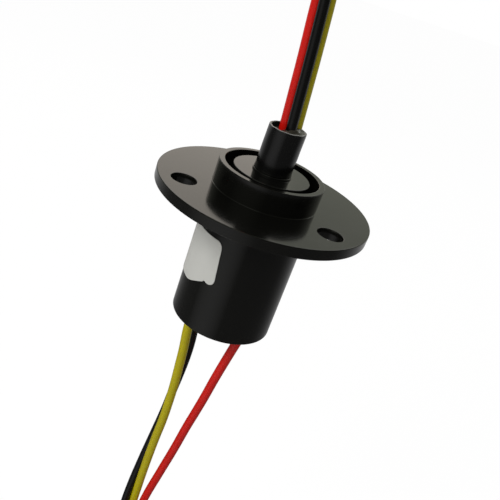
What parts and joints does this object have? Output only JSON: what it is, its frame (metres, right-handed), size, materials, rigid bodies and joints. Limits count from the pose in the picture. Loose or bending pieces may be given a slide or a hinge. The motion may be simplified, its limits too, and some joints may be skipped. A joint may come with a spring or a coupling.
{
  "type": "slip ring",
  "caption": "Flanged capsule slip ring: moulded housing, rotor on ball bearings, gold contact rings under wire brushes, and free leads at each end.",
  "frame": {"origin": "centre of the flange's mounting face, on the shaft's axis", "axes": "+Z along the shaft towards the rotor's leads; -Y is the front, where the label is seen at the left; the body hangs below the flange along -Z"},
  "size_m": [0.0446, 0.0645, 0.1986],
  "materials": {
    "housing_plastic": "glossy moulded black",
    "cap_plastic": "moulded black",
    "rotor_plastic": "glossy moulded black",
    "label_film": "matt pale grey film",
    "bearing_steel": "ground",
    "ball_steel": "polished",
    "cage_brass": "pressed",
    "board_laminate": "solder masked",
    "brush_gold": "drawn wire, gold plated",
    "ring_gold": "turned, gold plated",
    "spacer_plastic": "moulded",
    "clip_steel": "stamped spring steel",
    "sleeve_polyolefin": "satin shrink sleeve",
    "sealant_epoxy": "cured",
    "lead_red": "extruded",
    "lead_black": "extruded",
    "lead_yellow": "extruded",
    "lead_bundle": "extruded insulation, folded",
    "tinned_copper": "tinned",
    "tie_nylon": "moulded"
  },
  "bodies": {
    "stator": {"housing": "housing_plastic", "end_cap": "cap_plastic", "label": "label_film", "upper_bearing_outer": "bearing_steel", "lower_bearing_outer": "bearing_steel", "brush_board_front": "board_laminate", "brush_board_back": "board_laminate", "brush_front_1": "brush_gold", "brush_front_2": "brush_gold", "brush_front_3": "brush_gold", "brush_back_1": "brush_gold", "brush_back_2": "brush_gold", "brush_back_3": "brush_gold", "stator_wire_red": "lead_red", "stator_wire_black": "lead_black", "stator_wire_yellow": "lead_yellow", "stator_lead_red": "lead_red", "stator_lead_black": "lead_black", "stator_lead_yellow": "lead_yellow", "stator_hank": "lead_bundle", "stator_tie": "tie_nylon", "stator_tips": "tinned_copper"},
    "upper_ball_set": {"upper_cage": "cage_brass", "upper_balls": "ball_steel"},
    "lower_ball_set": {"lower_cage": "cage_brass", "lower_balls": "ball_steel"},
    "rotor": {"rotor_hub": "rotor_plastic", "upper_bearing_inner": "bearing_steel", "lower_bearing_inner": "bearing_steel", "contact_ring_1": "ring_gold", "contact_ring_2": "ring_gold", "contact_ring_3": "ring_gold", "ring_spacer_1": "spacer_plastic", "ring_spacer_2": "spacer_plastic", "ring_spacer_3": "spacer_plastic", "ring_spacer_4": "spacer_plastic", "retaining_clip": "clip_steel", "shrink_sleeve": "sleeve_polyolefin", "sealant": "sealant_epoxy", "rotor_wire_red": "lead_red", "rotor_wire_black": "lead_black", "rotor_wire_yellow": "lead_yellow", "rotor_lead_red": "lead_red", "rotor_lead_black": "lead_black", "rotor_lead_yellow": "lead_yellow", "rotor_hank": "lead_bundle", "rotor_tie": "tie_nylon", "rotor_tips": "tinned_copper"}
  },
  "joints": [
    {"name": "rotor_spin", "type": "hinge", "parent": "stator", "child": "rotor", "pos_m": [0, 0, 0], "axis": [0, 0, 1], "continuous": true},
    {"name": "upper_ball_roll", "type": "hinge", "parent": "stator", "child": "upper_ball_set", "pos_m": [0, 0, 0.0022], "axis": [0, 0, 1], "continuous": true},
    {"name": "lower_ball_roll", "type": "hinge", "parent": "stator", "child": "lower_ball_set", "pos_m": [0, 0, -0.02135], "axis": [0, 0, 1], "continuous": true}
  ],
  "couplings": [
    {"joint": "upper_ball_roll", "follows": "rotor_spin", "ratio": 0.4048},
    {"joint": "lower_ball_roll", "follows": "rotor_spin", "ratio": 0.4}
  ]
}
